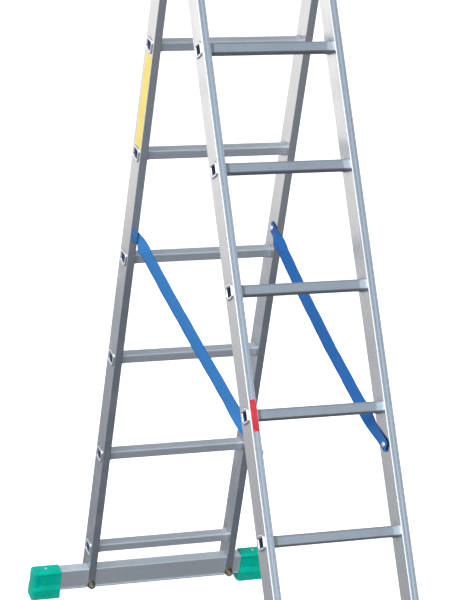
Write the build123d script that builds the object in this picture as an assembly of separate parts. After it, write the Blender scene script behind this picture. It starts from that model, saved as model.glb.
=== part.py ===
"""Two-section aluminium combination ladder, standing open as an A-frame.

Each section is modelled upright in its own frame and then leaned into place:
x runs along the rungs, y is the depth from the section's front face to its back face,
and z is the height along the stiles, from the centre of the lowest rung.
Right-hand pieces are modelled, and left-hand ones are their mirror images.
"""

import math
import os

from build123d import *

# Driving dimensions, in millimetres and degrees
RUNG_PITCH = 280
RUNG_COUNT = 7
FRONT_WIDTH = 341
REAR_WIDTH = 399
FRONT_LEAN = 20.3
REAR_LEAN = 20.65
FIRST_RUNG_HEIGHT = 128.5

STILE_WIDTH = 19
STILE_DEPTH = 58
STILE_SIDE_WALL = 1.6
STILE_FACE_WALL = 3.2
STILE_CORNER = 1.5
STILE_INNER_CORNER = 1
STILE_ABOVE_LAST_RUNG = 60
GROOVE_OFFSET = 4.4
GROOVE_WIDTH = 3.6
GROOVE_DEPTH = 1.4

RUNG_DEPTH = 28
RUNG_HEIGHT = 24
RUNG_CORNER = 4.5
RUNG_WALL = 1.6
RIM_DEPTH = 38
RIM_HEIGHT = 36
RIM_CORNER = 10
RIM_THICKNESS = 2.6
RIM_ROUNDING = 2.3
FLARE_GROWTH = 4.4
FLARE_LENGTH = 13
TREAD_RIB_PITCH = 4
TREAD_RIBS = 5
TREAD_GROOVE_WIDTH = 1.6
TREAD_GROOVE_DEPTH = 0.7

HINGE_HEIGHT = 1653
HINGE_OFFSET = 40
HINGE_PLATE = 4
PIN_RADIUS = 5
RUNNING_GAP = 0.05
FACE_GAP = 0.3
REAR_EAR_RADIUS = 14
HOOK_EAR_RADIUS = 15
HINGE_RIVET_RADIUS = 2.5
CATCH_THICKNESS = 3
CATCH_WIDTH = 11
CATCH_DROP = 40
CATCH_PIVOT_OFFSET = 2
CATCH_RIVET_RADIUS = 3

BAR_DEPTH = 31
BAR_HEIGHT = 54.5
BAR_TOP = -53
BAR_WALL = 2.2
BAR_LENGTH = 633
BAR_SHIFT = -27
BAR_LIP_HEIGHT = 4.6
BAR_LIP_REACH = 1.9
BAR_LIP_EDGE = 0.6
BOLT_HEIGHT = -99
BOLT_RADIUS = 5
NUT_SIZE = 16
WASHER_THICKNESS = 1.6
TAB_END_RADIUS = STILE_WIDTH / 2

FOOT_LENGTH = 74
FOOT_WALL = 4
FOOT_END_WALL = 5
FOOT_BOTTOM = -136.5
FOOT_FLARE = 4
FOOT_FLARE_TOP = -93
FOOT_FLARE_DROP = 9
FOOT_PANEL_REACH = 8
FRONT_FOOT_BOTTOM = -135
FRONT_FOOT_TOP = -62
FRONT_FOOT_WALL = 3
FRONT_STILE_BOTTOM = -122
FOOT_RIVET_RADIUS = 2
FOOT_RIVET_HEAD_RADIUS = 4
FOOT_RIVET_HEAD = 1.6
RIVET_TAIL = 1.5

STRAP_WIDTH = 30
STRAP_THICKNESS = 1.6
STRAP_OVERHANG = 12
RIGHT_STRAP_SAG = 19
LEFT_STRAP_SAG = 7
REAR_STRAP_TAB = 27
FRONT_STRAP_TAB = 54
STRAP_RIVET_RADIUS = 3
STRAP_HOLE_RADIUS = 3.5
REAR_STRAP_HEIGHT = 906
REAR_STRAP_DEPTH = -6
REAR_STRAP_STANDOFF = 1.7
FRONT_STRAP_HEIGHT = 474
FRONT_STRAP_DEPTH = -5
FRONT_STRAP_STANDOFF = 3

STICKER_THICKNESS = 0.4
SIDE_STICKER_BOTTOM = 1140
SIDE_STICKER_TOP = 1379
SIDE_STICKER_WIDTH = 39
SIDE_STICKER_DEPTH = -5
FACE_STICKER_BOTTOM = 520
FACE_STICKER_TOP = 593

# Sizes that follow from the driving dimensions
FRONT_HALF = FRONT_WIDTH / 2
REAR_HALF = REAR_WIDTH / 2
FRONT_INNER = FRONT_HALF - STILE_WIDTH
REAR_INNER = REAR_HALF - STILE_WIDTH
HALF_DEPTH = STILE_DEPTH / 2
LAST_RUNG = (RUNG_COUNT - 1) * RUNG_PITCH
STILE_TOP = LAST_RUNG + STILE_ABOVE_LAST_RUNG
BAR_FRONT = -HALF_DEPTH + STILE_FACE_WALL
BAR_BACK = BAR_FRONT + BAR_DEPTH
BAR_BOTTOM = BAR_TOP - BAR_HEIGHT
BAR_MIDDLE = (BAR_FRONT + BAR_BACK) / 2
REAR_STILE_X = REAR_HALF - STILE_WIDTH / 2
FRONT_STILE_X = FRONT_HALF - STILE_WIDTH / 2


def along_x(profile, x_from, x_to):
    """Extrude a side view, drawn as (depth, height), from x_from to x_to."""
    return Pos(x_from, 0, 0) * extrude(Plane.YZ * profile, amount=x_to - x_from)


def along_y(profile, y_from, y_to):
    """Extrude a front view, drawn as (x, height), from y_from back to y_to."""
    return Pos(0, y_from, 0) * extrude(Plane.XZ * profile, amount=y_from - y_to)


def mirrored(part):
    """The left-hand twin of a right-hand piece."""
    return mirror(part, about=Plane.YZ)


def cross_pin(radius, x_from, x_to, depth, height):
    """A round bar along x."""
    return along_x(Pos(depth, height) * Circle(radius), x_from, x_to)


def domed_rivet(shank_radius, head_radius, head_height, shank_length):
    """A rivet along z: its domed head stands on z = 0 and its shank goes down."""
    head = Pos(0, 0, head_height / 2) * Cylinder(head_radius, head_height)
    head = fillet(head.edges().sort_by(Axis.Z)[-1], head_height * 0.8)
    return head + Pos(0, 0, -shank_length / 2) * Cylinder(shank_radius, shank_length)


def flush_rivet(shank_radius, sink, length):
    """A countersunk rivet along z: its flat head lies in the surface z = 0."""
    cone = Pos(0, 0, -sink / 2) * Cone(shank_radius, shank_radius + sink, sink)
    return cone + Pos(0, 0, -length / 2) * Cylinder(shank_radius, length)


def facing_x(part, x, depth, height):
    """Stand a piece that was modelled along z on the face at x, pointing to +x."""
    return Pos(x, depth, height) * Rot(0, 90, 0) * part


def facing_minus_x(part, x, depth, height):
    """Stand a piece that was modelled along z on the face at x, pointing to -x."""
    return Pos(x, depth, height) * Rot(0, -90, 0) * part


def stile_section(climbing_side):
    """The hollow box section of a stile, with two grooves along its climbing face, at -y or +y."""
    section = RectangleRounded(STILE_WIDTH, STILE_DEPTH, STILE_CORNER)
    section -= RectangleRounded(
        STILE_WIDTH - 2 * STILE_SIDE_WALL, STILE_DEPTH - 2 * STILE_FACE_WALL, STILE_INNER_CORNER
    )
    bottom = GROOVE_WIDTH - GROOVE_DEPTH
    groove = make_face(
        Polyline(
            (-GROOVE_WIDTH / 2, 0),
            (-bottom / 2, -GROOVE_DEPTH),
            (bottom / 2, -GROOVE_DEPTH),
            (GROOVE_WIDTH / 2, 0),
            close=True,
        )
    )
    turn = 0 if climbing_side > 0 else 180
    for side in (-1, 1):
        section -= Pos(side * GROOVE_OFFSET, climbing_side * HALF_DEPTH) * Rot(0, 0, turn) * groove
    return section


def rung_outline():
    """A rung's side view, drawn as (depth, height)."""
    return RectangleRounded(RUNG_DEPTH, RUNG_HEIGHT, RUNG_CORNER)


def stile(half_width, bottom, climbing_side):
    """A right-hand stile with a hole for each rung."""
    middle = half_width - STILE_WIDTH / 2
    body = Pos(middle, 0, bottom) * extrude(stile_section(climbing_side), amount=STILE_TOP - bottom)
    hole = along_x(rung_outline(), half_width - 2 * STILE_WIDTH, half_width + STILE_WIDTH)
    return body - [Pos(0, 0, rung * RUNG_PITCH) * hole for rung in range(RUNG_COUNT)]


def rung(half_width):
    """A hollow rung with ribbed treads, swelling against the stiles and rimmed outside them."""
    rim_end = half_width + RIM_THICKNESS
    flare_end = half_width - STILE_WIDTH
    flare_start = flare_end - FLARE_LENGTH
    rim_shape = RectangleRounded(RIM_DEPTH, RIM_HEIGHT, RIM_CORNER)
    flare_shape = RectangleRounded(
        RUNG_DEPTH + FLARE_GROWTH, RUNG_HEIGHT + FLARE_GROWTH, RUNG_CORNER + FLARE_GROWTH / 2
    )
    bore_shape = RectangleRounded(
        RUNG_DEPTH - 2 * RUNG_WALL, RUNG_HEIGHT - 2 * RUNG_WALL, RUNG_CORNER - RUNG_WALL
    )
    rim = along_x(rim_shape - bore_shape, half_width, rim_end)
    rim = fillet(rim.faces().sort_by(Axis.X)[-1].edges(), RIM_ROUNDING)
    flare_ends = [Plane.YZ.offset(flare_start) * rung_outline(), Plane.YZ.offset(flare_end) * flare_shape]
    flare = loft(flare_ends)
    body = along_x(rung_outline(), -half_width, half_width) + [flare, mirrored(flare)]
    body -= along_x(bore_shape, -half_width, half_width)
    body += [rim, mirrored(rim)]
    for side in (-1, 1):
        for rib in range(TREAD_RIBS):
            depth = (rib - (TREAD_RIBS - 1) / 2) * TREAD_RIB_PITCH
            groove = Pos(depth, side * RUNG_HEIGHT / 2) * Rectangle(
                TREAD_GROOVE_WIDTH, 2 * TREAD_GROOVE_DEPTH
            )
            body -= along_x(groove, -flare_start, flare_start)
    return body


def top_cap(half_width):
    """A plastic plug in a stile's top, with a rounded cover plate."""
    cover_overhang = 2.4
    cover_height = 6
    cover_corner = 3
    plug_gap = 0.4
    plug_height = 16
    plug_wall = 2
    middle = half_width - STILE_WIDTH / 2
    cover = extrude(
        RectangleRounded(STILE_WIDTH + cover_overhang, STILE_DEPTH + cover_overhang, cover_corner),
        amount=cover_height,
    )
    cover = fillet(cover.faces().sort_by(Axis.Z)[-1].edges(), cover_height * 0.4)
    plug_width = STILE_WIDTH - 2 * STILE_SIDE_WALL - plug_gap
    plug_depth = STILE_DEPTH - 2 * STILE_FACE_WALL - plug_gap
    plug = RectangleRounded(plug_width, plug_depth, plug_wall)
    plug -= Rectangle(plug_width - 2 * plug_wall, plug_depth - 2 * plug_wall)
    return Pos(middle, 0, STILE_TOP) * (cover + extrude(plug, amount=-plug_height))


def rear_stile():
    """A rear stile: notched to sit over the bar, with its front wall running down over the bar's face."""
    bar_gap, end_drop = 0.3, 27
    body = stile(REAR_HALF, BOLT_HEIGHT - TAB_END_RADIUS, climbing_side=1)
    notch_depth = BAR_DEPTH + bar_gap
    notch = Pos(REAR_STILE_X, BAR_FRONT + notch_depth / 2, BAR_TOP - BAR_HEIGHT)
    body -= notch * Box(2 * STILE_WIDTH, notch_depth, 2 * BAR_HEIGHT)
    end = Pos(REAR_STILE_X, BAR_FRONT + STILE_DEPTH / 2, BAR_TOP - end_drop - BAR_HEIGHT)
    body -= end * Box(2 * STILE_WIDTH, STILE_DEPTH, 2 * BAR_HEIGHT)
    corners = Pos(0, -TAB_END_RADIUS / 2) * Rectangle(2 * STILE_WIDTH, TAB_END_RADIUS)
    tab_trim = Pos(REAR_STILE_X, BOLT_HEIGHT) * (corners - Circle(TAB_END_RADIUS))
    body -= along_y(tab_trim, -STILE_DEPTH, 0)
    return body - along_y(Pos(REAR_STILE_X, BOLT_HEIGHT) * Circle(BOLT_RADIUS), -STILE_DEPTH, 0)


def bar_outline(shrink=0.0):
    """The bar's side view: small radii, and a larger one along its lower front edge."""
    small, large = 2.5, 3.5
    outline = Pos(BAR_MIDDLE, (BAR_TOP + BAR_BOTTOM) / 2) * Rectangle(
        BAR_DEPTH - 2 * shrink, BAR_HEIGHT - 2 * shrink
    )
    lower_front = Vector(BAR_FRONT + shrink, BAR_BOTTOM + shrink)
    corners = outline.vertices().sort_by_distance(lower_front)
    outline = fillet(corners[1:], small - shrink / 2)
    return fillet(outline.vertices().sort_by_distance(lower_front)[0], large - shrink)


def bar_lip():
    """A sloping lip along the bar's lower front edge, between the feet and broken at the stiles."""
    feet_gap, stile_gap = 0.5, 1
    half = BAR_LENGTH / 2 + FOOT_END_WALL - FOOT_LENGTH - feet_gap
    inside = BAR_FRONT + BAR_WALL
    outside = BAR_FRONT - BAR_LIP_REACH
    side_view = Polyline(
        (inside, BAR_BOTTOM),
        (outside, BAR_BOTTOM),
        (outside, BAR_BOTTOM + BAR_LIP_EDGE),
        (BAR_FRONT, BAR_BOTTOM + BAR_LIP_HEIGHT),
        (inside, BAR_BOTTOM + BAR_LIP_HEIGHT),
        close=True,
    )
    lip = along_x(make_face(side_view), BAR_SHIFT - half, BAR_SHIFT + half)
    notch = Box(STILE_WIDTH + 2 * stile_gap, 4 * BAR_LIP_REACH, 3 * BAR_LIP_HEIGHT)
    front = BAR_FRONT - 2 * BAR_LIP_REACH
    return lip - [Pos(side * REAR_STILE_X, front, BAR_BOTTOM) * notch for side in (-1, 1)]


def stabiliser_bar():
    """The rectangular tube across the foot of the rear section, off centre to the left."""
    half = BAR_LENGTH / 2
    section = bar_outline() - bar_outline(BAR_WALL)
    body = along_x(section, BAR_SHIFT - half, BAR_SHIFT + half) + bar_lip()
    for side in (-1, 1):
        bolt_hole = Pos(side * REAR_STILE_X, BOLT_HEIGHT) * Circle(BOLT_RADIUS)
        body -= along_y(bolt_hole, -STILE_DEPTH, STILE_DEPTH)
    return body


def foot_panel(length, depth):
    """A block whose rounded edges leave a shallow, soft-edged panel where it is cut from a foot's side."""
    margin, rounding = 8, 4
    top = BAR_TOP + FOOT_WALL - margin
    block = Box(length, 2 * FOOT_PANEL_REACH, top - FOOT_FLARE_TOP)
    block = fillet(block.edges(), rounding)
    return Pos(0, depth, (top + FOOT_FLARE_TOP) / 2) * block


def stabiliser_foot():
    """The right-hand plastic foot: a rounded, panelled sleeve over the bar's end on a flared sole."""
    corner, hollow, swell, end_radius, mouth_radius = 8.5, 8, 10, 8, 2
    end = BAR_LENGTH / 2 + FOOT_END_WALL
    front = BAR_FRONT - FOOT_WALL
    back = BAR_BACK + FOOT_WALL
    top = BAR_TOP + FOOT_WALL
    flare_bottom = FOOT_FLARE_TOP - FOOT_FLARE_DROP
    side_view = make_face(
        Polyline(
            (front, top),
            (back, top),
            (back, FOOT_FLARE_TOP),
            (back + FOOT_FLARE, flare_bottom),
            (back + FOOT_FLARE, FOOT_BOTTOM),
            (front - FOOT_FLARE, FOOT_BOTTOM),
            (front - FOOT_FLARE, flare_bottom),
            (front, FOOT_FLARE_TOP),
            close=True,
        )
    )
    rounding = {FOOT_BOTTOM: corner, flare_bottom: swell, FOOT_FLARE_TOP: hollow, top: corner}
    for level, radius in rounding.items():
        corners = [vertex for vertex in side_view.vertices() if abs(vertex.Y - level) < 0.01]
        side_view = fillet(corners, radius)
    body = along_x(side_view, end - FOOT_LENGTH, end)
    body = fillet(body.faces().sort_by(Axis.X)[-1].edges(), end_radius)
    body = fillet(body.faces().sort_by(Axis.X)[0].edges(), mouth_radius)
    panel_depth, end_margin = 1.4, 13
    block_offset = FOOT_PANEL_REACH - panel_depth
    middle = end - end_margin - FOOT_LENGTH / 2
    for depth in (front - block_offset, back + block_offset):
        body -= Pos(middle, 0, 0) * foot_panel(FOOT_LENGTH, depth)
    body -= along_x(bar_outline(), end - 2 * FOOT_LENGTH, end - FOOT_END_WALL)
    return Pos(BAR_SHIFT, 0, 0) * body


def stabiliser_bolts():
    """A hexagon bolt through the bar and the stile's front wall, head at the back, for each stile."""
    head_height = 6.4
    reach = 13
    head_start = BAR_BACK + WASHER_THICKNESS
    bolts = []
    for side in (-1, 1):
        place = Pos(side * REAR_STILE_X, BOLT_HEIGHT)
        hexagon = place * RegularPolygon(NUT_SIZE / 2, 6, major_radius=False)
        shank = along_y(place * Circle(BOLT_RADIUS), -HALF_DEPTH - reach, head_start)
        bolts.append(shank + along_y(hexagon, head_start, head_start + head_height))
    return bolts


def stabiliser_washers():
    """A washer under each bolt's head and under each nut."""
    front_radius, back_radius = 10.5, 9.5
    washers = []
    for side in (-1, 1):
        place = Pos(side * REAR_STILE_X, BOLT_HEIGHT)
        front_ring = place * (Circle(front_radius) - Circle(BOLT_RADIUS))
        back_ring = place * (Circle(back_radius) - Circle(BOLT_RADIUS))
        washers.append(along_y(front_ring, -HALF_DEPTH - WASHER_THICKNESS, -HALF_DEPTH))
        washers.append(along_y(back_ring, BAR_BACK, BAR_BACK + WASHER_THICKNESS))
    return washers


def stabiliser_nuts():
    """A hexagon nut on the front end of each bolt."""
    height = 8
    start = -HALF_DEPTH - WASHER_THICKNESS
    nuts = []
    for side in (-1, 1):
        outline = RegularPolygon(NUT_SIZE / 2, 6, major_radius=False) - Circle(BOLT_RADIUS)
        nuts.append(along_y(Pos(side * REAR_STILE_X, BOLT_HEIGHT) * outline, start - height, start))
    return nuts


# Where the hinge's fixings go, as (depth, height) from the hinge pin, in the rear and front sections
REAR_PLATE_RIVETS = [(24, -14), (48, -34), (24, -54)]
HOOK_RIVETS = [(-26, -16), (-50, -34), (-26, -54)]


def hinge_plate():
    """The right-hand rear hinge plate, on the rear stile's inner face, with an ear for the pin."""
    base_depth, base_height, base_corner = 46, 58, 6
    base_middle = Pos(HINGE_OFFSET - 2, -33)
    ear = Circle(REAR_EAR_RADIUS)
    base = base_middle * RectangleRounded(base_depth, base_height, base_corner)
    outline = make_hull((ear + base).edges()) - Circle(PIN_RADIUS)
    outline -= [Pos(*spot) * Circle(HINGE_RIVET_RADIUS) for spot in REAR_PLATE_RIVETS]
    return along_x(Pos(-HINGE_OFFSET, HINGE_HEIGHT) * outline, REAR_INNER - HINGE_PLATE, REAR_INNER)


HOOK_OUTER = FRONT_HALF + HINGE_PLATE
CATCH_OUTER = FRONT_HALF - FACE_GAP
CATCH_INNER = CATCH_OUTER - CATCH_THICKNESS
PLATE_INNER = REAR_INNER - HINGE_PLATE


def hinge_pin():
    """The right-hand shoulder pin: fixed in the rear plate, carrying the front section's hook."""
    inner_head_radius, inner_head = 8, 3.8
    outer_head_radius, outer_head = 7.5, 3
    collar_radius = 9
    head_end = CATCH_INNER - FACE_GAP
    spot = (-HINGE_OFFSET, HINGE_HEIGHT)
    pin = cross_pin(PIN_RADIUS, head_end, REAR_INNER, *spot)
    pin += cross_pin(inner_head_radius, head_end - inner_head, head_end, *spot)
    pin += cross_pin(collar_radius, HOOK_OUTER + FACE_GAP, PLATE_INNER, *spot)
    return pin + cross_pin(outer_head_radius, REAR_INNER, REAR_INNER + outer_head, *spot)


def hinge_hook():
    """The right-hand hook on the front stile's outer face: it hangs on the pin and carries the catch."""
    base_depth, base_height, base_corner = 48, 58, 6
    base_middle = Pos(-HINGE_OFFSET, -34)
    boss_radius = 12
    slot = 2 * (PIN_RADIUS + RUNNING_GAP)
    slot_drop = 22
    mouth_top, mouth_bottom = -14, -28
    reach = 3 * HOOK_EAR_RADIUS
    ear = Circle(HOOK_EAR_RADIUS)
    boss = Pos(CATCH_PIVOT_OFFSET, -CATCH_DROP) * Circle(boss_radius)
    base = base_middle * RectangleRounded(base_depth, base_height, base_corner)
    outline = make_hull((ear + boss + base).edges()) - Circle(slot / 2)
    outline -= Pos(0, -slot_drop / 2) * Rectangle(slot, slot_drop)
    mouth = Rectangle(reach, mouth_top - mouth_bottom)
    outline -= Pos(reach / 2 - slot / 2, (mouth_top + mouth_bottom) / 2) * mouth
    body = along_x(Pos(HINGE_OFFSET, HINGE_HEIGHT) * outline, FRONT_HALF, HOOK_OUTER)
    return body - hook_rivets() - catch_rivet()


def hook_rivets():
    """Countersunk rivets that hold a hook to its stile, flush so that the plates can pass."""
    sink = 2
    rivet = flush_rivet(HINGE_RIVET_RADIUS, sink, HINGE_PLATE + STILE_SIDE_WALL + RIVET_TAIL)
    return [
        facing_x(rivet, HOOK_OUTER, HINGE_OFFSET + depth, HINGE_HEIGHT + height)
        for depth, height in HOOK_RIVETS
    ]


def plate_rivets():
    """Low domed rivets that hold a rear hinge plate to its stile."""
    head_radius, head_height = 4.5, 1.2
    grip = HINGE_PLATE + STILE_SIDE_WALL + RIVET_TAIL
    rivet = domed_rivet(HINGE_RIVET_RADIUS, head_radius, head_height, grip)
    return [
        facing_minus_x(rivet, PLATE_INNER, depth - HINGE_OFFSET, HINGE_HEIGHT + height)
        for depth, height in REAR_PLATE_RIVETS
    ]


def catch_rivet():
    """The rivet that a catch turns on: flush in the hook, with a head over the catch."""
    head_radius, head = 5.5, 2.4
    sink = 2
    spot = (HINGE_OFFSET + CATCH_PIVOT_OFFSET, HINGE_HEIGHT - CATCH_DROP)
    head_start = CATCH_INNER - FACE_GAP
    length = HOOK_OUTER - head_start
    body = facing_x(flush_rivet(CATCH_RIVET_RADIUS, sink, length), HOOK_OUTER, *spot)
    return body + cross_pin(head_radius, head_start - head, head_start, *spot)


def safety_catch():
    """The right-hand catch: a finger that stands under the pin, with a lip for the thumb."""
    gap_under_pin = 1.2
    finger_top = -PIN_RADIUS - gap_under_pin
    lip_height, lip_reach, lip_wall, lip_drop = 12, 9, 2, 4
    pivot = Pos(CATCH_PIVOT_OFFSET, -CATCH_DROP)
    heel = pivot * Circle(CATCH_WIDTH * 0.75)
    finger_height = finger_top + CATCH_DROP
    finger = pivot * Pos(0, finger_height / 2) * Rectangle(CATCH_WIDTH, finger_height)
    outline = heel + finger - pivot * Circle(CATCH_RIVET_RADIUS + RUNNING_GAP)
    place = Pos(HINGE_OFFSET, HINGE_HEIGHT)
    body = along_x(place * outline, CATCH_INNER, CATCH_OUTER)
    lip_depth = CATCH_PIVOT_OFFSET + CATCH_WIDTH / 2 - lip_wall / 2
    lip = Pos(lip_depth, finger_top - lip_drop - lip_height / 2) * Rectangle(lip_wall, lip_height)
    return body + along_x(place * lip, CATCH_INNER - lip_reach, CATCH_INNER)


def front_foot():
    """The right-hand plastic foot of the front section: a sleeve with a tread, over the stile's end."""
    height = FRONT_FOOT_TOP - FRONT_FOOT_BOTTOM
    width = STILE_WIDTH + 2 * FRONT_FOOT_WALL
    depth = STILE_DEPTH + 2 * FRONT_FOOT_WALL
    corner, top_radius = 5, 1.5
    grooves, groove_height, groove_pitch, groove_depth = 4, 2.5, 7, 1.2
    first_groove = FRONT_FOOT_BOTTOM + 24
    outline = RectangleRounded(width, depth, corner)
    body = Pos(FRONT_STILE_X, 0, FRONT_FOOT_BOTTOM) * extrude(outline, amount=height)
    body = fillet(body.faces().sort_by(Axis.Z)[-1].edges(), top_radius)
    ring = Rectangle(2 * width, 2 * depth) - RectangleRounded(
        width - 2 * groove_depth, depth - 2 * groove_depth, corner - groove_depth
    )
    for groove in range(grooves):
        level = first_groove + groove * groove_pitch
        body -= Pos(FRONT_STILE_X, 0, level) * extrude(ring, amount=groove_height)
    socket = Pos(FRONT_STILE_X, 0, FRONT_STILE_BOTTOM) * extrude(
        RectangleRounded(STILE_WIDTH, STILE_DEPTH, STILE_CORNER), amount=height
    )
    return body - socket - front_foot_rivet()


def foot_rivet(grip):
    """A domed rivet along z that holds a plastic foot, through walls of this thickness."""
    return domed_rivet(FOOT_RIVET_RADIUS, FOOT_RIVET_HEAD_RADIUS, FOOT_RIVET_HEAD, grip + RIVET_TAIL)


def front_foot_rivet():
    """A domed rivet through the outer wall of a front foot into its stile."""
    drop = 14
    rivet = foot_rivet(FRONT_FOOT_WALL + STILE_SIDE_WALL)
    return facing_x(rivet, FRONT_HALF + FRONT_FOOT_WALL, 0, FRONT_FOOT_TOP - drop)


def stabiliser_foot_rivet():
    """A domed rivet through the top of a stabiliser foot into the bar."""
    middle = BAR_LENGTH / 2 + FOOT_END_WALL - FOOT_LENGTH / 2
    place = Pos(BAR_SHIFT + middle, BAR_MIDDLE, BAR_TOP + FOOT_WALL)
    return place * foot_rivet(FOOT_WALL + BAR_WALL)


def strap_rivet(inner_face, depth, height, standoff):
    """A strap's rivet in a stile's inner face: a wide head, clear of the webbing."""
    head_radius, head_height, head_gap = 7.5, 3.4, 0.4
    reach = standoff + STRAP_THICKNESS / 2 + head_gap
    grip = reach + STILE_SIDE_WALL + RIVET_TAIL
    rivet = domed_rivet(STRAP_RIVET_RADIUS, head_radius, head_height, grip)
    return facing_minus_x(rivet, inner_face - reach, depth, height)


def strap_tab(end, inward, reach):
    """A strap's end: webbing on edge against a stile, from past the rivet hole to its reach inward."""
    across = Vector(1, 0, 0)
    normal = (across - inward * across.dot(inward)).normalized()
    face = Plane(origin=end, x_dir=inward, z_dir=normal)
    tab = face * Pos((reach - STRAP_OVERHANG) / 2, 0) * Rectangle(reach + STRAP_OVERHANG, STRAP_WIDTH)
    body = extrude(tab, amount=STRAP_THICKNESS / 2, both=True)
    drill = Cylinder(STRAP_HOLE_RADIUS, 4 * STRAP_OVERHANG)
    return body - Pos(end.X, end.Y, end.Z) * Rot(0, 90, 0) * drill


def strap(rear_end, front_end, sag):
    """A strip of slack webbing: flat along its sagging run and turned on edge at each rivet."""
    overlap = 6
    along = (front_end - rear_end).normalized()
    start = rear_end + along * REAR_STRAP_TAB
    stop = front_end - along * FRONT_STRAP_TAB
    middle = (start + stop) * 0.5 - Vector(0, 0, sag)
    lower = ThreePointArc((start.Y, start.Z), (middle.Y, middle.Z), (stop.Y, stop.Z))
    upper = Pos(0, STRAP_THICKNESS) * lower
    side_view = make_face([lower, upper, Line(lower @ 0, upper @ 0), Line(lower @ 1, upper @ 1)])
    half = STRAP_WIDTH / 2
    plan_view = make_face(
        Polyline(
            (start.X - half, start.Y),
            (start.X + half, start.Y),
            (stop.X + half, stop.Y),
            (stop.X - half, stop.Y),
            close=True,
        )
    )
    run = along_x(side_view, 0, REAR_WIDTH) & extrude(plan_view, amount=STILE_TOP)
    rear_tab = strap_tab(rear_end, along, REAR_STRAP_TAB + overlap)
    return run + [rear_tab, strap_tab(front_end, -along, FRONT_STRAP_TAB + overlap)]


def side_sticker():
    """A long plain sticker on the rear left stile's outer face."""
    corner = 2
    height = SIDE_STICKER_TOP - SIDE_STICKER_BOTTOM
    middle = Pos(SIDE_STICKER_DEPTH, SIDE_STICKER_BOTTOM + height / 2)
    outline = middle * RectangleRounded(SIDE_STICKER_WIDTH, height, corner)
    return along_x(outline, -REAR_HALF - STICKER_THICKNESS, -REAR_HALF)


def face_sticker():
    """A small plain sticker on the front left stile's climbing face, bridging its grooves."""
    outer_margin, inner_margin, corner = 2.2, 0.8, 1
    left = -FRONT_HALF + outer_margin
    right = -FRONT_INNER - inner_margin
    height = FACE_STICKER_TOP - FACE_STICKER_BOTTOM
    middle = Pos((left + right) / 2, FACE_STICKER_BOTTOM + height / 2)
    outline = middle * RectangleRounded(right - left, height, corner)
    return along_y(outline, -HALF_DEPTH - STICKER_THICKNESS, -HALF_DEPTH)


def both_sides(pieces):
    """Right-hand pieces and their left-hand twins, as one list."""
    return list(pieces) + [mirrored(piece) for piece in pieces]


def mirrored_about_bar(part):
    """The piece at the other end of the off-centre bar."""
    return mirror(part, about=Plane.YZ.offset(BAR_SHIFT))


def drilled(part, pins):
    """A piece with holes for the pins that go through it."""
    for pin in pins:
        part = part - pin
    return part


def rear_section():
    """The rear section's pieces, by name."""
    foot_rivets = [stabiliser_foot_rivet()]
    foot_rivets.append(mirrored_about_bar(foot_rivets[0]))
    strap_rivets = [strap_rivet(REAR_INNER, REAR_STRAP_DEPTH, REAR_STRAP_HEIGHT, REAR_STRAP_STANDOFF)]
    right_stile = drilled(rear_stile(), plate_rivets() + strap_rivets)
    right_foot = drilled(stabiliser_foot(), foot_rivets[:1])
    pieces = {
        "rear_right_stile": right_stile,
        "rear_left_stile": mirrored(right_stile),
        "rear_right_top_cap": top_cap(REAR_HALF),
        "rear_left_top_cap": mirrored(top_cap(REAR_HALF)),
        "stabiliser_bar": drilled(stabiliser_bar(), foot_rivets),
        "right_stabiliser_foot": right_foot,
        "left_stabiliser_foot": mirrored_about_bar(right_foot),
        "stabiliser_foot_rivets": foot_rivets,
        "stabiliser_bolts": stabiliser_bolts(),
        "stabiliser_washers": stabiliser_washers(),
        "stabiliser_nuts": stabiliser_nuts(),
        "right_hinge_plate": hinge_plate(),
        "left_hinge_plate": mirrored(hinge_plate()),
        "hinge_plate_rivets": both_sides(plate_rivets()),
        "right_hinge_pin": hinge_pin(),
        "left_hinge_pin": mirrored(hinge_pin()),
        "rear_strap_rivets": both_sides(strap_rivets),
        "side_sticker": side_sticker(),
    }
    shape = rung(REAR_HALF)
    for number in range(RUNG_COUNT):
        pieces[f"rear_rung_{number + 1}"] = Pos(0, 0, number * RUNG_PITCH) * shape
    return pieces


def front_section():
    """The front section's pieces, by name."""
    strap_rivets = [strap_rivet(FRONT_INNER, FRONT_STRAP_DEPTH, FRONT_STRAP_HEIGHT, FRONT_STRAP_STANDOFF)]
    pins = hook_rivets() + strap_rivets + [front_foot_rivet()]
    right_stile = drilled(stile(FRONT_HALF, FRONT_STILE_BOTTOM, climbing_side=-1), pins)
    pieces = {
        "front_right_stile": right_stile,
        "front_left_stile": mirrored(right_stile),
        "front_right_top_cap": top_cap(FRONT_HALF),
        "front_left_top_cap": mirrored(top_cap(FRONT_HALF)),
        "front_right_foot": front_foot(),
        "front_left_foot": mirrored(front_foot()),
        "front_foot_rivets": both_sides([front_foot_rivet()]),
        "right_hinge_hook": hinge_hook(),
        "left_hinge_hook": mirrored(hinge_hook()),
        "hinge_hook_rivets": both_sides(hook_rivets()),
        "right_catch": safety_catch(),
        "left_catch": mirrored(safety_catch()),
        "catch_rivets": both_sides([catch_rivet()]),
        "front_strap_rivets": both_sides(strap_rivets),
        "face_sticker": face_sticker(),
    }
    shape = rung(FRONT_HALF)
    for number in range(RUNG_COUNT):
        pieces[f"front_rung_{number + 1}"] = Pos(0, 0, number * RUNG_PITCH) * shape
    return pieces


def hinge_from_first_rung(lean):
    """How far the hinge pin lies inside the A and above a section's first rung, once it leans."""
    angle = math.radians(lean)
    inward = HINGE_HEIGHT * math.sin(angle) + HINGE_OFFSET * math.cos(angle)
    upward = HINGE_HEIGHT * math.cos(angle) - HINGE_OFFSET * math.sin(angle)
    return inward, upward


def solids_of(piece):
    """A piece, or a list of like pieces, as a flat list of solids."""
    if isinstance(piece, list):
        return [solid for part in piece for solid in part.solids()]
    return list(piece.solids())


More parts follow.
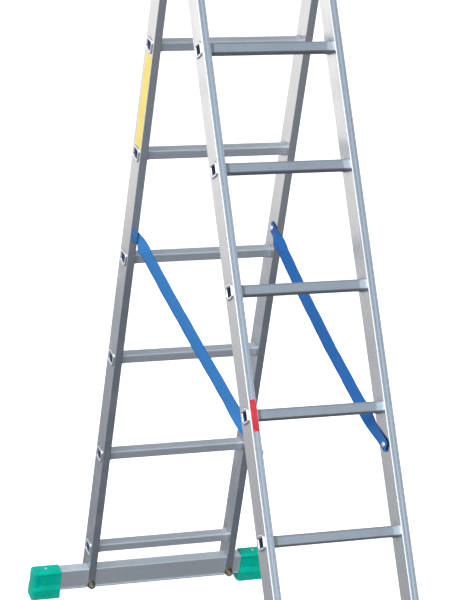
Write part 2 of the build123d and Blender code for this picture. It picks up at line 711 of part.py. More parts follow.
def main():
    front_in, front_up = hinge_from_first_rung(FRONT_LEAN)
    rear_in, rear_up = hinge_from_first_rung(REAR_LEAN)
    hinge_z = FIRST_RUNG_HEIGHT + front_up
    front_place = Pos(0, -front_in, FIRST_RUNG_HEIGHT) * Rot(-FRONT_LEAN, 0, 0)
    rear_place = Pos(0, rear_in, hinge_z - rear_up) * Rot(REAR_LEAN, 0, 0)

    placed = {}
    for place, pieces in ((rear_place, rear_section()), (front_place, front_section())):
        for name, piece in pieces.items():
            placed[name] = [place * solid for solid in solids_of(piece)]

    rear_anchor = Vector(REAR_INNER - REAR_STRAP_STANDOFF, REAR_STRAP_DEPTH, REAR_STRAP_HEIGHT)
    front_anchor = Vector(FRONT_INNER - FRONT_STRAP_STANDOFF, FRONT_STRAP_DEPTH, FRONT_STRAP_HEIGHT)
    rear_end = (rear_place * Pos(*rear_anchor)).position
    front_end = (front_place * Pos(*front_anchor)).position
    placed["right_strap"] = solids_of(strap(rear_end, front_end, RIGHT_STRAP_SAG))
    placed["left_strap"] = solids_of(mirrored(strap(rear_end, front_end, LEFT_STRAP_SAG)))

    ground = Pos(0, 0, -RUNG_PITCH) * Box(10 * RUNG_PITCH, 10 * RUNG_PITCH, 2 * RUNG_PITCH)
    for name in ("right_stabiliser_foot", "left_stabiliser_foot", "front_right_foot", "front_left_foot"):
        placed[name] = solids_of(placed[name][0] - ground)

    box = Compound([solid for solids in placed.values() for solid in solids]).bounding_box()
    centring = Pos(-box.center().X, -box.center().Y, 0)
    os.makedirs("parts", exist_ok=True)
    for name, solids in placed.items():
        moved = [centring * solid for solid in solids]
        export_step(Compound(moved), f"parts/{name}.step")

    hinge = centring * Pos(0, 0, hinge_z)
    catch_spot = Pos(0, HINGE_OFFSET + CATCH_PIVOT_OFFSET, HINGE_HEIGHT - CATCH_DROP)
    catch = centring * front_place * catch_spot
    print("pieces", len(placed), "box", box.min, box.max)
    print("ladder centre plane x", centring.position.X)
    print("hinge axis", hinge.position)
    print("catch axis", catch.position)
    print("front section origin", (centring * front_place).position)
    print("rear section origin", (centring * rear_place).position)


main()
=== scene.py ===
"""Finishes, straps, fixings and a studio for a two-section aluminium combination ladder."""

import math

import bpy
from mathutils import Matrix, Vector


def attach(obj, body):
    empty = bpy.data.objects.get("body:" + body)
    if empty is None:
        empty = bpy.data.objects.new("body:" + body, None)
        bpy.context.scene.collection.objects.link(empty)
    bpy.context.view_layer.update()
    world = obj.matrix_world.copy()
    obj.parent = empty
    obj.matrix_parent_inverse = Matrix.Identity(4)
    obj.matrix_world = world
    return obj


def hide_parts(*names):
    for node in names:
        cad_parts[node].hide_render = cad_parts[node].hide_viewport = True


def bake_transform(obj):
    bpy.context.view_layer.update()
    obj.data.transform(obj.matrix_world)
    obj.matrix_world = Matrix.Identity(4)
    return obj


bl_info = {
    "name": "Combination ladder",
    "version": (1, 0, 0),
    "blender": (4, 5, 0),
    "location": "View3D > Sidebar > Ladder",
    "description": "Gives a two-section aluminium ladder its finishes, straps, fixings and studio",
    "category": "Object",
}

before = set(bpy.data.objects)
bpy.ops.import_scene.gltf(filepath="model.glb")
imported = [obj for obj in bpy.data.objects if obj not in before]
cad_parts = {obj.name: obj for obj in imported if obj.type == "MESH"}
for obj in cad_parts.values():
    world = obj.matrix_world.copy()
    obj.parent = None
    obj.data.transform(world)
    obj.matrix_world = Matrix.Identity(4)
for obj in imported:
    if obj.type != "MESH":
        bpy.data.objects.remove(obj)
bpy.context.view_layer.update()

# The two sections' own frames: where the centre of the lowest rung is, and how far the section leans
SECTIONS = {
    "front": {"origin": Vector((0.027, -0.606282, 0.1285)), "lean": math.radians(20.3)},
    "rear": {"origin": Vector((0.027, 0.625093, 0.132261)), "lean": math.radians(-20.65)},
}
RUNG_PITCH = 0.28
HALF_DEPTH = 0.029
STILE_MIDDLE = {"front": 0.161, "rear": 0.19}
STILE_HALF_WIDTH = 0.0095
REAR_ANCHOR = Vector((0.1788, -0.006, 0.906))
FRONT_ANCHOR = Vector((0.1485, -0.005, 0.474))
NUT_SEAT = Vector((0.19, -0.0306, -0.099))
BAR_FRONT = -0.0268
BAR_TOP = -0.053
BAR_BOTTOM = -0.1075
RIVET_HOLE_RADIUS = 0.0034

# A strap is four lengths butted end to end. Each gives where it ends along the strap, from the rear
# rivet at 0 to the front rivet at 1, and where its turn from the rear to the front section starts and ends
STRAP_LENGTHS = [
    (0.14, 0.0, 0.5374),
    (0.40, -0.1345, 0.9199),
    (0.75, -0.3196, 1.0999),
    (1.0, -0.0177, 1.0011),
]


def from_section(section, point):
    """A place in a leaning section's own frame, as a place in the ladder's frame."""
    turn = Matrix.Rotation(-SECTIONS[section]["lean"], 3, "X")
    return SECTIONS[section]["origin"] + turn @ Vector(point)


COLOUR = {"subtype": "COLOR", "min": 0.0, "max": 1.0}
FACTOR = {"subtype": "FACTOR", "min": 0.0, "max": 1.0}


class LadderMetal(bpy.types.PropertyGroup):
    """Colours and polish of the metal pieces."""

    stile_colour: bpy.props.FloatVectorProperty(
        name="Stile colour",
        description="Bare aluminium of the stiles and rear rungs",
        default=(0.86, 0.87, 0.88),
        **COLOUR,
    )
    rung_colour: bpy.props.FloatVectorProperty(
        name="Rung colour",
        description="Bare aluminium of the front rungs",
        default=(0.62, 0.63, 0.64),
        **COLOUR,
    )
    bar_colour: bpy.props.FloatVectorProperty(
        name="Bar colour",
        description="Bare aluminium of the stabiliser bar",
        default=(0.92, 0.93, 0.94),
        **COLOUR,
    )
    stile_roughness: bpy.props.FloatProperty(
        name="Stile roughness",
        description="How dull the drawn faces of the stiles are",
        default=0.24,
        **FACTOR,
    )
    rung_roughness: bpy.props.FloatProperty(
        name="Rung roughness", description="How dull the rungs are", default=0.4, **FACTOR
    )
    zinc_colour: bpy.props.FloatVectorProperty(
        name="Zinc colour",
        description="Clear zinc plating of the hinge plates, hooks, catches and bolts",
        default=(0.70, 0.71, 0.73),
        **COLOUR,
    )
    passivated_colour: bpy.props.FloatVectorProperty(
        name="Yellow zinc colour",
        description="Yellow passivated plating of the nuts and washers",
        default=(0.36, 0.26, 0.13),
        **COLOUR,
    )
    rivet_colour: bpy.props.FloatVectorProperty(
        name="Rivet colour",
        description="Bright aluminium of the rivets",
        default=(0.92, 0.92, 0.93),
        **COLOUR,
    )


class LadderPlastic(bpy.types.PropertyGroup):
    """Colours of the plastic pieces and the stickers."""

    foot_colour: bpy.props.FloatVectorProperty(
        name="Foot colour",
        description="Moulded plastic of the feet and the top caps",
        default=(0.0, 0.355, 0.235),
        **COLOUR,
    )
    side_colour: bpy.props.FloatVectorProperty(
        name="Side sticker colour",
        description="Film of the long sticker on the rear stile",
        default=(0.78, 0.57, 0.065),
        **COLOUR,
    )
    face_colour: bpy.props.FloatVectorProperty(
        name="Face sticker colour",
        description="Film of the small sticker on the front stile",
        default=(0.47, 0.006, 0.016),
        **COLOUR,
    )


class LadderStrap(bpy.types.PropertyGroup):
    """Sizes and colours of the spreader straps."""

    width: bpy.props.FloatProperty(
        name="Width", description="Width of the webbing", unit="LENGTH", default=0.03, min=0.005
    )
    thickness: bpy.props.FloatProperty(
        name="Thickness", description="Thickness of the webbing", unit="LENGTH", default=0.0015, min=0.0005
    )
    right_sag: bpy.props.FloatProperty(
        name="Right sag",
        description="How far the right strap's middle hangs",
        unit="LENGTH",
        default=0.019,
        min=0.0,
    )
    left_sag: bpy.props.FloatProperty(
        name="Left sag",
        description="How far the left strap's middle hangs",
        unit="LENGTH",
        default=0.007,
        min=0.0,
    )
    tail: bpy.props.FloatProperty(
        name="Tail", description="Webbing left beyond each rivet", unit="LENGTH", default=0.012, min=0.006
    )
    right_colour: bpy.props.FloatVectorProperty(
        name="Right colour",
        description="Dyed webbing of the right strap",
        default=(0.010, 0.113, 0.36),
        **COLOUR,
    )
    # The left strap's paler colour is painted light on the same webbing.
    left_lit_colour: bpy.props.FloatVectorProperty(
        name="Left colour",
        description="Dyed webbing of the left strap, a little paler",
        default=(0.024, 0.158, 0.40),
        **COLOUR,
    )


class LadderFixing(bpy.types.PropertyGroup):
    """Sizes of the nuts on the stabiliser bar."""

    across_flats: bpy.props.FloatProperty(
        name="Across flats", description="Nut size across its flats", unit="LENGTH", default=0.016, min=0.004
    )
    height: bpy.props.FloatProperty(
        name="Height", description="Height of a nut", unit="LENGTH", default=0.008, min=0.002
    )
    bore: bpy.props.FloatProperty(
        name="Bore", description="Diameter of a nut's hole", unit="LENGTH", default=0.01, min=0.002
    )


class LadderStage(bpy.types.PropertyGroup):
    """Camera, floor and light."""

    camera_place: bpy.props.FloatVectorProperty(
        name="Camera place",
        description="Where the camera stands",
        subtype="XYZ",
        unit="LENGTH",
        default=(-2.24351, -5.79624, 1.74461),
    )
    camera_turn: bpy.props.FloatVectorProperty(
        name="Camera turn",
        description="The camera's rotation",
        subtype="EULER",
        unit="ROTATION",
        default=(math.radians(81.802), 0.0, math.radians(-20.897)),
    )
    focal_length: bpy.props.FloatProperty(
        name="Focal length", description="Lens in millimetres", default=160.705, min=10.0
    )
    floor_size: bpy.props.FloatProperty(
        name="Floor size", description="Width of the floor", unit="LENGTH", default=240.0, min=2.0
    )
    floor_colour: bpy.props.FloatVectorProperty(
        name="Floor colour", description="Pale studio floor", default=(0.93, 0.93, 0.93), **COLOUR
    )


GROUPS = {}
PLACE_AND_SCALE = [("Vector", "NodeSocketVector", None), ("Scale", "NodeSocketFloat", 1.0)]


def add_node(tree, kind, inputs=None, **settings):
    """Place a node with its settings, and set or link its inputs."""
    node = tree.nodes.new(kind)
    for key, value in settings.items():
        setattr(node, key, value)
    for key, value in (inputs or {}).items():
        if isinstance(value, bpy.types.NodeSocket):
            tree.links.new(value, node.inputs[key])
        else:
            node.inputs[key].default_value = value
    return node


def calculate(tree, operation, first, second=0.0, third=0.0):
    """A Math node's output."""
    inputs = {0: first, 1: second, 2: third}
    return add_node(tree, "ShaderNodeMath", inputs, operation=operation).outputs[0]


def times(tree, first, second):
    """Two values multiplied."""
    return calculate(tree, "MULTIPLY", first, second)


def added(tree, mask, amount, value):
    """A mask times an amount, added to a value."""
    return calculate(tree, "MULTIPLY_ADD", mask, amount, value)


def unsigned(tree, value):
    """A value without its sign."""
    return calculate(tree, "ABSOLUTE", value)


def axes(tree, vector):
    """The x, y and z of a vector."""
    return add_node(tree, "ShaderNodeSeparateXYZ", {0: vector}).outputs


def stretch(tree, value, low, high, to_low=0.0, to_high=1.0, smooth=True):
    """A value moved from one range to another and kept inside it."""
    inputs = {"Value": value, "From Min": low, "From Max": high, "To Min": to_low, "To Max": to_high}
    interpolation = "SMOOTHSTEP" if smooth else "LINEAR"
    node = add_node(tree, "ShaderNodeMapRange", inputs, interpolation_type=interpolation)
    return node.outputs["Result"]


def scaled(tree, vector, factors):
    """Coordinates multiplied axis by axis."""
    inputs = {0: vector, 1: factors}
    return add_node(tree, "ShaderNodeVectorMath", inputs, operation="MULTIPLY").outputs[0]


def gained(tree, vector, factor):
    """A vector or a colour times one factor, which may exceed 1."""
    inputs = {0: vector, "Scale": factor}
    return add_node(tree, "ShaderNodeVectorMath", inputs, operation="SCALE").outputs[0]


def noise(tree, vector, scale, detail=2.0, roughness=0.55):
    """Noise from 0 to 1."""
    inputs = {"Vector": vector, "Scale": scale, "Detail": detail, "Roughness": roughness}
    return add_node(tree, "ShaderNodeTexNoise", inputs).outputs["Fac"]


def mixed(tree, amount, first, second, blend="MIX"):
    """Two colours mixed."""
    node = add_node(tree, "ShaderNodeMix", data_type="RGBA", blend_type=blend)
    for socket, value in zip((0, 6, 7), (amount, first, second)):
        if isinstance(value, bpy.types.NodeSocket):
            tree.links.new(value, node.inputs[socket])
        elif socket == 0:
            node.inputs[socket].default_value = value
        else:
            node.inputs[socket].default_value = tuple(value)[:3] + (1.0,)
    return node.outputs[2]


def stained(tree, colour, mask, amount, stain):
    """A colour with a stain laid over it where the mask is, by at most an amount."""
    return mixed(tree, times(tree, mask, amount), colour, stain)


def start_group(name, inputs, outputs):
    """An empty shader node group with these named inputs and outputs."""
    tree = bpy.data.node_groups.new(name, "ShaderNodeTree")
    for label, kind, default in inputs:
        socket = tree.interface.new_socket(label, in_out="INPUT", socket_type=kind)
        if kind == "NodeSocketFloat":
            socket.default_value = default
    for label in outputs:
        tree.interface.new_socket(label, in_out="OUTPUT", socket_type="NodeSocketFloat")
    return tree, tree.nodes.new("NodeGroupInput").outputs, tree.nodes.new("NodeGroupOutput").inputs


def drawn_lines():
    """Fine die lines along z, as left on an extrusion: height, and a slower streak."""
    inputs = [("Vector", "NodeSocketVector", None), ("Fineness", "NodeSocketFloat", 1.0)]
    tree, given, put = start_group("drawn lines", inputs, ["Height", "Streak"])
    fine = gained(tree, given["Vector"], given["Fineness"])
    lines = noise(tree, scaled(tree, fine, (2600.0, 2600.0, 5.0)), 1.0, 2.0, 0.6)
    streak = noise(tree, scaled(tree, fine, (420.0, 420.0, 1.6)), 1.0, 3.0, 0.6)
    tree.links.new(lines, put["Height"])
    tree.links.new(stretch(tree, streak, 0.3, 0.7), put["Streak"])
    return tree


def handling_wear():
    """Soft smudges and sparse fine scratches."""
    tree, given, put = start_group("handling wear", PLACE_AND_SCALE, ["Smudge", "Scratch"])
    sized = gained(tree, given["Vector"], given["Scale"])
    smudge = noise(tree, sized, 11.0, 4.0, 0.62)
    turned = add_node(tree, "ShaderNodeMapping", {"Vector": sized, "Rotation": (0.35, 0.25, 0.3)}).outputs[0]
    hair = noise(tree, scaled(tree, turned, (70.0, 900.0, 34.0)), 1.0, 1.0)
    off_middle = unsigned(tree, calculate(tree, "SUBTRACT", hair, 0.5))
    thin = stretch(tree, off_middle, 0.0, 0.012, 1.0, 0.0)
    sparse = stretch(tree, noise(tree, sized, 26.0, 2.0), 0.55, 0.68)
    tree.links.new(stretch(tree, smudge, 0.46, 0.7), put["Smudge"])
    tree.links.new(times(tree, thin, sparse), put["Scratch"])
    return tree


def edge_rub():
    """A broken rub along an edge, from the distance to that edge."""
    inputs = [
        ("Vector", "NodeSocketVector", None),
        ("Distance", "NodeSocketFloat", 1.0),
        ("Width", "NodeSocketFloat", 0.002),
    ]
    tree, given, put = start_group("edge rub", inputs, ["Rub"])
    near = calculate(tree, "DIVIDE", given["Distance"], given["Width"])
    ragged = noise(tree, given["Vector"], 130.0, 4.0, 0.65)
    reach = calculate(tree, "ADD", near, times(tree, ragged, 1.4))
    tree.links.new(stretch(tree, reach, 0.75, 1.35, 1.0, 0.0), put["Rub"])
    return tree


def plating_bloom():
    """Cloudy zinc plating with tiny crystals and a few dull spots."""
    tree, given, put = start_group("plating bloom", PLACE_AND_SCALE, ["Cloud", "Crystal", "Spot"])
    sized = gained(tree, given["Vector"], given["Scale"])
    cloud = noise(tree, sized, 60.0, 4.0, 0.6)
    cells = add_node(tree, "ShaderNodeTexVoronoi", {"Vector": sized, "Scale": 900.0}, feature="F1")
    spot = noise(tree, sized, 190.0, 2.0)
    tree.links.new(stretch(tree, cloud, 0.32, 0.68), put["Cloud"])
    tree.links.new(cells.outputs["Distance"], put["Crystal"])
    tree.links.new(stretch(tree, spot, 0.66, 0.74), put["Spot"])
    return tree


def moulded_grain():
    """Spark-eroded mould grain, with a slow mottle in the colour."""
    tree, given, put = start_group("moulded grain", PLACE_AND_SCALE, ["Height", "Mottle"])
    sized = gained(tree, given["Vector"], given["Scale"])
    grain = noise(tree, sized, 1400.0, 2.0, 0.6)
    mottle = noise(tree, sized, 34.0, 3.0)
    tree.links.new(grain, put["Height"])
    tree.links.new(stretch(tree, mottle, 0.35, 0.65), put["Mottle"])
    return tree


def webbing_weave():
    """Flat twill webbing on a UV map in metres: u along, v across from -half to half the width."""
    inputs = [("UV", "NodeSocketVector", None), ("Half Width", "NodeSocketFloat", 0.0125)]
    tree, given, put = start_group("webbing weave", inputs, ["Height", "Yarn", "Selvedge"])
    chevron, twill_pitch, pick_pitch = 0.0031, 0.0021, 0.00085
    split = axes(tree, given["UV"])
    folded = calculate(tree, "PINGPONG", split[1], chevron)
    slant = calculate(tree, "ADD", split[0], folded)
    twill = calculate(tree, "SINE", times(tree, slant, 2 * math.pi / twill_pitch))
    pick = calculate(tree, "SINE", times(tree, split[1], 2 * math.pi / pick_pitch))
    both = added(tree, pick, 0.35, twill)
    fuzz = noise(tree, given["UV"], 1600.0, 2.0)
    raised = added(tree, fuzz, 0.8, both)
    from_middle = unsigned(tree, split[1])
    inset = calculate(tree, "SUBTRACT", given["Half Width"], from_middle)
    yarns = noise(tree, scaled(tree, given["UV"], (14.0, 900.0, 1.0)), 1.0)
    tree.links.new(stretch(tree, raised, -1.2, 2.0, smooth=False), put["Height"])
    tree.links.new(stretch(tree, yarns, 0.3, 0.7), put["Yarn"])
    tree.links.new(stretch(tree, inset, 0.0004, 0.0026, 1.0, 0.0), put["Selvedge"])
    return tree


def build_groups():
    """Make the shared node groups once."""
    for make in (drawn_lines, handling_wear, edge_rub, plating_bloom, moulded_grain, webbing_weave):
        GROUPS[make.__name__] = make()


def use_group(tree, name, inputs):
    """Place a shared group in a material and return its outputs."""
    return add_node(tree, "ShaderNodeGroup", inputs, node_tree=GROUPS[name]).outputs


def new_material(name, **constants):
    """A material with an empty Principled shader, whose plain values are set on its own sockets."""
    material = bpy.data.materials.new(name)
    material.use_nodes = True
    tree = material.node_tree
    shader = tree.nodes["Principled BSDF"]
    for key, value in constants.items():
        shader.inputs[key.replace("_", " ").title().replace("Ior", "IOR")].default_value = value
    return material, tree, shader


def object_place(tree):
    """Object coordinates."""
    return tree.nodes.new("ShaderNodeTexCoord").outputs["Object"]


def section_place(tree, section):
    """Coordinates of a leaning section: x from its centre plane, y its depth, z up its stiles."""
    lean = SECTIONS[section]["lean"]
    shift = -(Matrix.Rotation(lean, 3, "X") @ SECTIONS[section]["origin"])
    inputs = {"Vector": object_place(tree), "Location": shift, "Rotation": (lean, 0.0, 0.0)}
    return add_node(tree, "ShaderNodeMapping", inputs).outputs[0]


def along_rungs(tree, place):
    """A section's coordinates turned so that z runs along its rungs."""
    inputs = {"Vector": place, "Rotation": (0.0, math.radians(90.0), 0.0)}
    return add_node(tree, "ShaderNodeMapping", inputs).outputs[0]


def bumped(tree, shader, height, strength, distance):
    """Give a shader a bump."""
    inputs = {"Height": height, "Strength": strength, "Distance": distance}
    tree.links.new(add_node(tree, "ShaderNodeBump", inputs).outputs[0], shader.inputs["Normal"])


def feed(tree, shader, colour, roughness):
    """Link a shader's colour and roughness."""
    tree.links.new(colour, shader.inputs["Base Color"])
    tree.links.new(roughness, shader.inputs["Roughness"])


def darker(colour, factor):
    """A colour made darker."""
    return tuple(part * factor for part in colour)


def stile_aluminium(section):
    """Drawn aluminium with die lines along the stile, smudges and rubbed edges, with painted shade round the
    rims and in the grooves; the rear stiles are painted darker, more towards the foot.
    """
    look = bpy.context.scene.ladder_metal
    material, tree, shader = new_material(f"drawn aluminium of the {section} stiles", metallic=1.0)
    place = section_place(tree, section)
    lines = use_group(tree, "drawn_lines", {"Vector": place})
    wear = use_group(tree, "handling_wear", {"Vector": place})
    x, y, z = axes(tree, place)
    to_face = calculate(tree, "SUBTRACT", HALF_DEPTH, unsigned(tree, y))
    from_stile = calculate(tree, "SUBTRACT", unsigned(tree, x), STILE_MIDDLE[section])
    to_side = calculate(tree, "SUBTRACT", STILE_HALF_WIDTH, unsigned(tree, from_stile))
    to_edge = calculate(tree, "ADD", to_face, to_side)
    rub = use_group(tree, "edge_rub", {"Vector": place, "Distance": to_edge, "Width": 0.0016})
    # Painted shade on the stile face round each rung's rim.
    from_rung = calculate(tree, "PINGPONG", z, RUNG_PITCH / 2)
    square = times(tree, from_rung, from_rung)
    from_rim = calculate(tree, "SQRT", added(tree, y, y, square))
    painted_rim_shade = stretch(tree, from_rim, 0.017, 0.027, 0.30, 0.0)
    climbed = added(tree, y, 1.0 if section == "front" else -1.0, HALF_DEPTH)
    below_face = stretch(tree, climbed, 0.0002, 0.0008)
    above_wall = stretch(tree, climbed, 0.0016, 0.002, 1.0, 0.0)
    sunk = times(tree, below_face, above_wall)
    beside = stretch(tree, unsigned(tree, from_stile), 0.0062, 0.0066, 1.0, 0.0)
    groove = times(tree, sunk, beside)
    base = look.stile_colour
    colour = mixed(tree, lines["Streak"], darker(base, 0.95), base)
    # The rear stiles are painted darker as painted shade, and darker still towards the foot.
    if section == "rear":
        painted_foot_shade = tuple(part * share for part, share in zip(base, (0.57, 0.60, 0.65)))
        painted_rear_shade = mixed(tree, lines["Streak"], darker(base, 0.70), darker(base, 0.75))
        colour = mixed(tree, 0.5, colour, painted_rear_shade)
        colour = mixed(tree, stretch(tree, z, 0.72, 1.02, 1.0, 0.0), colour, painted_foot_shade)
    # Painted shade in the grooves of the stile face.
    colour = stained(tree, colour, groove, 0.8, darker(base, 0.8))
    colour = stained(tree, colour, wear["Smudge"], 0.4, darker(base, 0.86))
    colour = mixed(tree, painted_rim_shade, colour, darker(base, 0.45))
    colour = stained(tree, colour, rub["Rub"], 0.5, (0.93, 0.93, 0.93))
    rough = stretch(tree, lines["Streak"], 0.0, 1.0, look.stile_roughness + 0.03, look.stile_roughness - 0.03)
    rough = added(tree, wear["Smudge"], 0.05, rough)
    rough = added(tree, wear["Scratch"], 0.12, rough)
    feed(tree, shader, colour, rough)
    relief = added(tree, wear["Scratch"], -0.6, lines["Height"])
    bumped(tree, shader, relief, 0.05, 0.0002)
    return material


def rung_aluminium(section):
    """Duller aluminium with lines along the rung and brighter, rubbed tread ribs, dust and painted shade in
    the tread grooves, a painted highlight on the rims and painted shadow in the bores.
    """
    look = bpy.context.scene.ladder_metal
    material, tree, shader = new_material(f"aluminium of the {section} rungs", metallic=1.0)
    place = section_place(tree, section)
    along = along_rungs(tree, place)
    lines = use_group(tree, "drawn_lines", {"Vector": along})
    wear = use_group(tree, "handling_wear", {"Vector": along, "Scale": 1.3})
    x, y, z = axes(tree, place)
    from_middle = calculate(tree, "PINGPONG", z, RUNG_PITCH / 2)
    tread = stretch(tree, from_middle, 0.0116, 0.0121)
    trodden = stretch(tree, unsigned(tree, x), 0.05, 0.15, 1.0, 0.15)
    worn = times(tree, tread, trodden)
    # Dust and painted shade in the tread grooves.
    groove = stretch(tree, from_middle, 0.0110, 0.0116, 1.0, 0.0)
    on_tread = stretch(tree, unsigned(tree, y), 0.0088, 0.0096, 1.0, 0.0)
    groove_dust_and_shade = times(tree, times(tree, groove, on_tread), 0.5)
    base = look.rung_colour if section == "front" else look.stile_colour
    dull = look.rung_roughness if section == "front" else look.rung_roughness + 0.18
    outward = calculate(tree, "SUBTRACT", unsigned(tree, x), STILE_MIDDLE[section])
    rim = stretch(tree, outward, 0.0092, 0.0100)
    bore = stretch(tree, outward, -0.0090, -0.0080)
    colour = mixed(tree, lines["Streak"], darker(base, 0.93), base)
    colour = stained(tree, colour, wear["Smudge"], 0.5, darker(base, 0.85))
    colour = mixed(tree, groove_dust_and_shade, colour, darker(base, 0.4))
    polish = 0.4 if section == "front" else 0.25
    colour = stained(tree, colour, worn, polish, (0.92, 0.92, 0.92))
    # A painted highlight on the rims, and painted shadow in the bores.
    shadow_blue, rim_highlight = (0.34, 0.40, 0.60), (0.92, 0.92, 0.93)
    colour = mixed(tree, bore, colour, shadow_blue)
    colour = mixed(tree, rim, colour, rim_highlight)
    rough = stretch(tree, lines["Streak"], 0.0, 1.0, dull + 0.04, dull - 0.04)
    rough = added(tree, worn, -0.1, rough)
    rough = added(tree, rim, 0.2 - dull, rough)
    rough = added(tree, wear["Smudge"], 0.06, rough)
    feed(tree, shader, colour, rough)
    relief = added(tree, wear["Scratch"], -0.6, lines["Height"])
    bumped(tree, shader, relief, 0.06, 0.0002)
    return material


def bar_aluminium():
    """Aluminium of the stabiliser bar, drawn along x, with a painted blue-white highlight on its lip and top
    and painted shade along the lip's lowest edge.
    """
    look = bpy.context.scene.ladder_metal
    material, tree, shader = new_material("drawn aluminium of the stabiliser bar", metallic=1.0)
    place = section_place(tree, "rear")
    along = along_rungs(tree, place)
    lines = use_group(tree, "drawn_lines", {"Vector": along})
    wear = use_group(tree, "handling_wear", {"Vector": along, "Scale": 1.2})
    base = look.bar_colour
    colour = mixed(tree, lines["Streak"], darker(base, 0.94), base)
    colour = stained(tree, colour, wear["Smudge"], 0.5, darker(base, 0.82))
    rough = stretch(tree, lines["Streak"], 0.0, 1.0, look.rung_roughness + 0.2, look.rung_roughness + 0.12)
    rough = added(tree, wear["Smudge"], 0.08, rough)
    depth, height = axes(tree, place)[1:]
    lip = stretch(tree, depth, BAR_FRONT, BAR_FRONT - 0.0002)
    rough = added(tree, lip, -0.3, rough)
    top = stretch(tree, height, BAR_TOP - 0.0003, BAR_TOP - 0.0001)
    # A painted blue-white highlight on the lip and the top face, and painted shade along the lip's lowest
    # edge.
    painted_highlight_blue, edge_shade = (0.86, 0.94, 1.0), (0.24, 0.27, 0.31)
    colour = mixed(tree, calculate(tree, "MAXIMUM", lip, top), colour, painted_highlight_blue)
    top_highlight_gain = added(tree, top, 0.12, 1.0)
    colour = gained(tree, colour, added(tree, lip, 0.55, top_highlight_gain))
    lowest = stretch(tree, height, BAR_BOTTOM + 0.0022, BAR_BOTTOM + 0.0015)
    under_edge = times(tree, lip, lowest)
    colour = mixed(tree, under_edge, colour, edge_shade)
    feed(tree, shader, colour, rough)
    relief = added(tree, wear["Scratch"], -0.6, lines["Height"])
    bumped(tree, shader, relief, 0.06, 0.0002)
    return material


def plated_steel(name, colour, tint, roughness, section):
    """Zinc-plated steel: cloudy, finely crystalline, with a second tint and a few dull spots."""
    material, tree, shader = new_material(name, metallic=1.0)
    place = section_place(tree, section)
    bloom = use_group(tree, "plating_bloom", {"Vector": place})
    wear = use_group(tree, "handling_wear", {"Vector": place, "Scale": 3.0})
    tone = mixed(tree, bloom["Cloud"], colour, tint)
    tone = stained(tree, tone, bloom["Spot"], 0.4, darker(colour, 0.55))
    tone = stained(tree, tone, wear["Scratch"], 0.5, (0.85, 0.85, 0.86))
    rough = stretch(tree, bloom["Cloud"], 0.0, 1.0, roughness - 0.05, roughness + 0.07)
    rough = added(tree, bloom["Spot"], 0.12, rough)
    feed(tree, shader, tone, rough)
    bumped(tree, shader, bloom["Crystal"], 0.1, 0.0002)
    return material


def threaded_steel():
    """Plated bolts, with the thread as a bump along the bolt and painted shade in its valleys."""
    look = bpy.context.scene.ladder_metal
    material, tree, shader = new_material("plated bolts", metallic=1.0)
    place = section_place(tree, "rear")
    bloom = use_group(tree, "plating_bloom", {"Vector": place})
    depth = axes(tree, place)[1]
    thread_pitch = 0.00125
    turns = calculate(tree, "SINE", times(tree, depth, 2 * math.pi / thread_pitch))
    front_end = stretch(tree, depth, -0.004, 0.004, 1.0, 0.0)
    thread = times(tree, turns, front_end)
    tone = mixed(tree, bloom["Cloud"], darker(look.zinc_colour, 0.9), look.zinc_colour)
    # Painted shade in the thread's valleys.
    valley = stretch(tree, thread, -1.0, -0.3, 0.6, 0.0)
    tone = mixed(tree, valley, tone, darker(look.zinc_colour, 0.35))
    rough = stretch(tree, bloom["Cloud"], 0.0, 1.0, 0.24, 0.38)
    feed(tree, shader, tone, rough)
    bumped(tree, shader, thread, 0.5, 0.0004)
    return material


def rivet_metal():
    """Bright tumbled aluminium rivets with tiny dents."""
    look = bpy.context.scene.ladder_metal
    material, tree, shader = new_material("bright rivets", metallic=1.0)
    place = object_place(tree)
    wear = use_group(tree, "handling_wear", {"Vector": place, "Scale": 5.0})
    dents = noise(tree, place, 420.0, 3.0)
    tone = stained(tree, look.rivet_colour, wear["Smudge"], 0.5, (0.7, 0.71, 0.72))
    feed(tree, shader, tone, stretch(tree, dents, 0.3, 0.7, 0.26, 0.38))
    bumped(tree, shader, dents, 0.12, 0.0004)
    return material


def moulded_plastic(name, sole):
    """Moulded plastic with mould grain, scratches and dust near its sole, a height in metres."""
    look = bpy.context.scene.ladder_plastic
    material, tree, shader = new_material(name, specular_ior_level=0.1)
    place = object_place(tree)
    grain = use_group(tree, "moulded_grain", {"Vector": place})
    wear = use_group(tree, "handling_wear", {"Vector": place, "Scale": 4.0})
    height = axes(tree, place)[2]
    low = stretch(tree, height, sole, sole + 0.03, 1.0, 0.0)
    dust = times(tree, low, stretch(tree, noise(tree, place, 55.0, 4.0), 0.35, 0.7))
    base = look.foot_colour
    lighter = (base[0], min(1.0, base[1] * 1.08), base[2] * 1.15)
    colour = mixed(tree, grain["Mottle"], darker(base, 0.93), lighter)
    colour = stained(tree, colour, dust, 0.2, (0.12, 0.36, 0.30))
    colour = stained(tree, colour, wear["Scratch"], 0.3, (0.12, 0.50, 0.40))
    rough = stretch(tree, grain["Mottle"], 0.0, 1.0, 0.36, 0.46)
    rough = added(tree, dust, 0.25, rough)
    feed(tree, shader, colour, rough)
    bumped(tree, shader, grain["Height"], 0.18, 0.0002)
    return material


